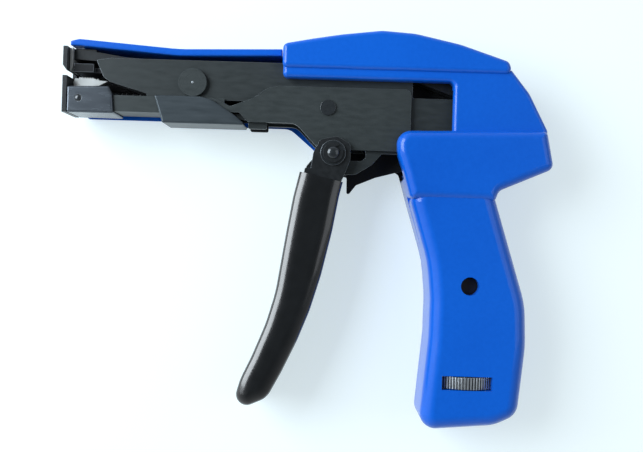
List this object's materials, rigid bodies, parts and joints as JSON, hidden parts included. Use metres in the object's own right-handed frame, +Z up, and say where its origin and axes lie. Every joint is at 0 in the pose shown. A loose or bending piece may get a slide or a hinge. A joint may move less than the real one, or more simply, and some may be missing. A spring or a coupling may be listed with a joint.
{
  "type": "cable tie tensioning tool",
  "caption": "Pistol-shaped hand tool that tensions and cuts cable ties: a nose mouth, a sliding carriage, a trigger, a grip and a tension wheel.",
  "frame": {"origin": "under the middle of the tool's outline, on the surface that it lies on", "axes": "+X from the nose to the heel of the tool, +Y from the end of the grip to the hump, +Z up through the tool's thickness, out of its left side"},
  "size_m": [0.1629, 0.1309, 0.024],
  "materials": {
    "blue_housing": "glossy",
    "screw_steel": "satin",
    "frame_steel": "dark oxide, satin",
    "stud_steel": "satin",
    "anvil_steel": "satin",
    "sheath_steel": "satin",
    "side_steel": "satin",
    "block_steel": "satin",
    "pin_steel": "satin",
    "pawl_steel": "bright",
    "spring_steel": "satin",
    "lever_steel": "satin",
    "trigger_coating": "glossy",
    "blade_steel": "ground bright",
    "adjuster_steel": "satin",
    "wheel_steel": "knurled"
  },
  "bodies": {
    "housing": {"right_housing": "blue_housing", "left_housing": "blue_housing", "shell_screws": "screw_steel", "frame_screws": "screw_steel", "sheath_screws": "screw_steel", "right_frame_plate": "frame_steel", "left_frame_plate": "frame_steel", "cutter_stud": "stud_steel", "trip_pin": "stud_steel", "nose_plate": "frame_steel", "anvil": "anvil_steel", "barrel_sheath": "sheath_steel", "return_spring": "spring_steel", "tension_spring": "spring_steel"},
    "carriage": {"left_side_plate": "side_steel", "right_side_plate": "side_steel", "guide_rivets": "pin_steel", "draw_channel": "side_steel", "nose_block": "block_steel", "nose_pin": "pin_steel", "trigger_pin": "pin_steel", "pin_washer": "pin_steel", "pin_clip": "pin_steel", "pawl_spring": "spring_steel"},
    "trigger": {"trigger_lever": "lever_steel", "trigger_sleeve": "trigger_coating", "trigger_arm": "lever_steel"},
    "pawl": {"gripper_pawl": "pawl_steel"},
    "trip": {"trip_lever": "lever_steel", "fulcrum_pin": "pin_steel"},
    "cutter": {"cutter_lever": "lever_steel"},
    "blade": {"cutter_blade": "blade_steel"},
    "cap": {"spring_cap": "adjuster_steel"},
    "nut": {"spring_nut": "adjuster_steel"},
    "adjuster": {"tension_screw": "adjuster_steel", "tension_wheel": "wheel_steel"}
  },
  "joints": [
    {"name": "trigger_hinge", "type": "hinge", "parent": "carriage", "child": "trigger", "pos_m": [0.009, 0.0249, 0.012], "axis": [0, 0, 1], "range_deg": [0, 22.6], "stiffness_Nm_per_rad": 1, "springref_deg": -5.73},
    {"name": "carriage_slide", "type": "slide", "parent": "housing", "child": "carriage", "axis": [1, 0, 0], "range_m": [0, 0.0088], "deforming": ["return_spring"]},
    {"name": "pawl_hinge", "type": "hinge", "parent": "carriage", "child": "pawl", "pos_m": [-0.076, 0.0407, 0.012], "axis": [0, 0, 1], "range_deg": [0, 8], "stiffness_Nm_per_rad": 0.02, "springref_deg": -5.73},
    {"name": "trip_hinge", "type": "hinge", "parent": "housing", "child": "trip", "pos_m": [0.029, 0.0559, 0.012], "axis": [0, 0, -1], "range_deg": [0, 2.49], "stiffness_Nm_per_rad": 4, "springref_deg": -8.59},
    {"name": "cutter_hinge", "type": "hinge", "parent": "housing", "child": "cutter", "pos_m": [-0.0384, 0.0471, 0.012], "axis": [0, 0, 1], "range_deg": [0, 3.64]},
    {"name": "blade_slide", "type": "slide", "parent": "housing", "child": "blade", "axis": [0, -1, 0], "range_m": [0, 0.0026]},
    {"name": "cap_slide", "type": "slide", "parent": "housing", "child": "cap", "axis": [0, -1, 0], "range_m": [0, 0.00115]},
    {"name": "nut_slide", "type": "slide", "parent": "housing", "child": "nut", "axis": [0, 1, 0], "range_m": [0, 0.004], "deforming": ["tension_spring"]},
    {"name": "wheel_hinge", "type": "hinge", "parent": "housing", "child": "adjuster", "pos_m": [0.0552, -0.0496, 0.012], "axis": [0, 1, 0], "range_deg": [0, 1440]}
  ],
  "couplings": [
    {"joint": "carriage_slide", "follows": "trigger_hinge", "m_per_rad": 0.0223},
    {"joint": "cutter_hinge", "follows": "trip_hinge", "ratio": 1.46},
    {"joint": "blade_slide", "follows": "trip_hinge", "m_per_rad": 0.0593},
    {"joint": "cap_slide", "follows": "trip_hinge", "m_per_rad": 0.0262},
    {"joint": "nut_slide", "follows": "wheel_hinge", "m_per_rad": 0.000159}
  ]
}
